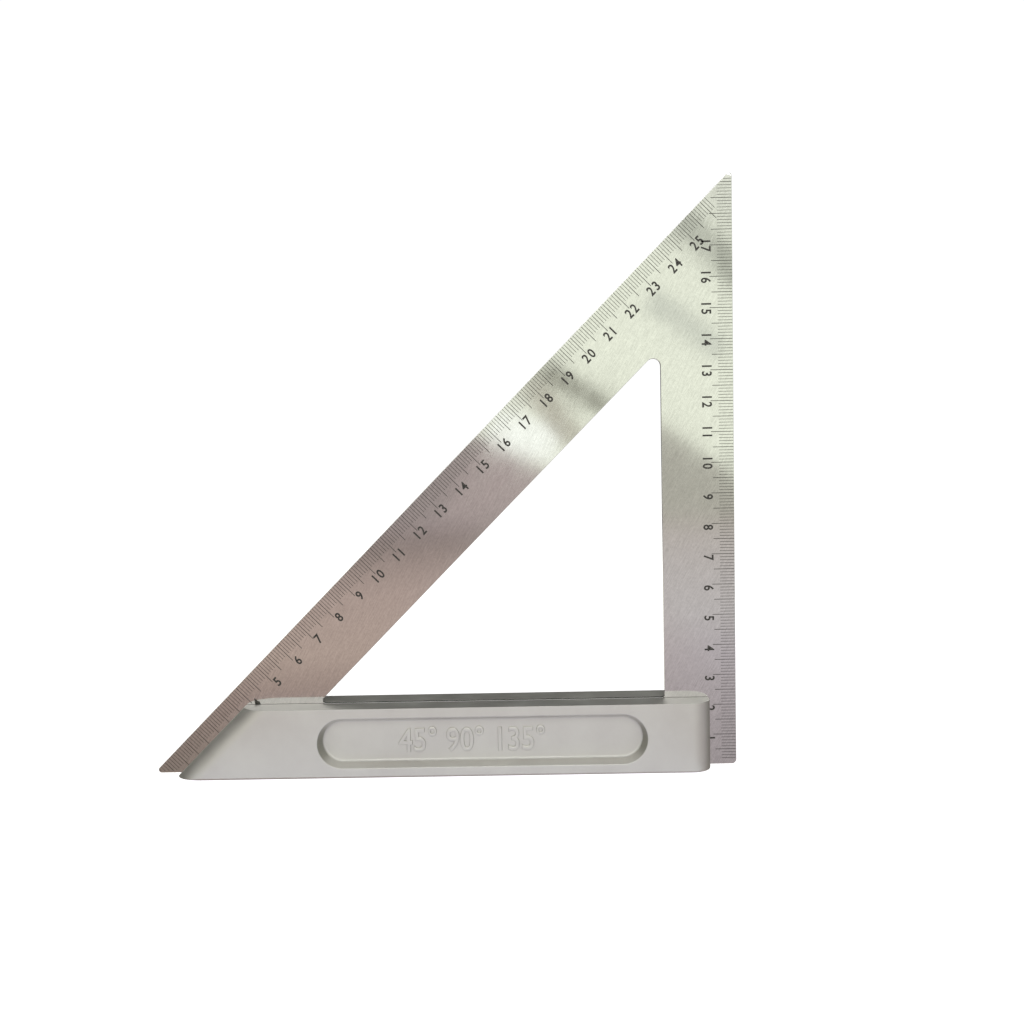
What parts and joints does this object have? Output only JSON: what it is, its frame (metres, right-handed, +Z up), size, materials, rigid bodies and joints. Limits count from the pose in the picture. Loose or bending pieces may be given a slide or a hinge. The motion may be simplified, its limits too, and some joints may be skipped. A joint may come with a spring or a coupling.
{
  "type": "speed square",
  "caption": "Triangular roofing square: a thin ruled steel blade with a triangular window, clamped between two cast aluminium fence halves.",
  "frame": {"origin": "bottom centre of the bounding box: on the surface the square stands on, midway along the blade's foot, in the blade's mid-plane", "axes": "+Z up along the blade's upright edge, +X along the fence towards the right-angled heel, +Y through the thickness from the front face to the rear face that carries the screws"},
  "size_m": [0.1928, 0.0196, 0.1928],
  "materials": {
    "blade_steel": "ground stainless steel with etched, blackened scales",
    "fence_casting": "matte die-cast aluminium",
    "screw_steel": "bright zinc-plated steel"
  },
  "bodies": {
    "root": {"blade": "blade_steel", "front_fence": "fence_casting", "rear_fence": "fence_casting", "screw_1": "screw_steel", "screw_2": "screw_steel", "screw_3": "screw_steel", "screw_4": "screw_steel"}
  },
  "joints": []
}
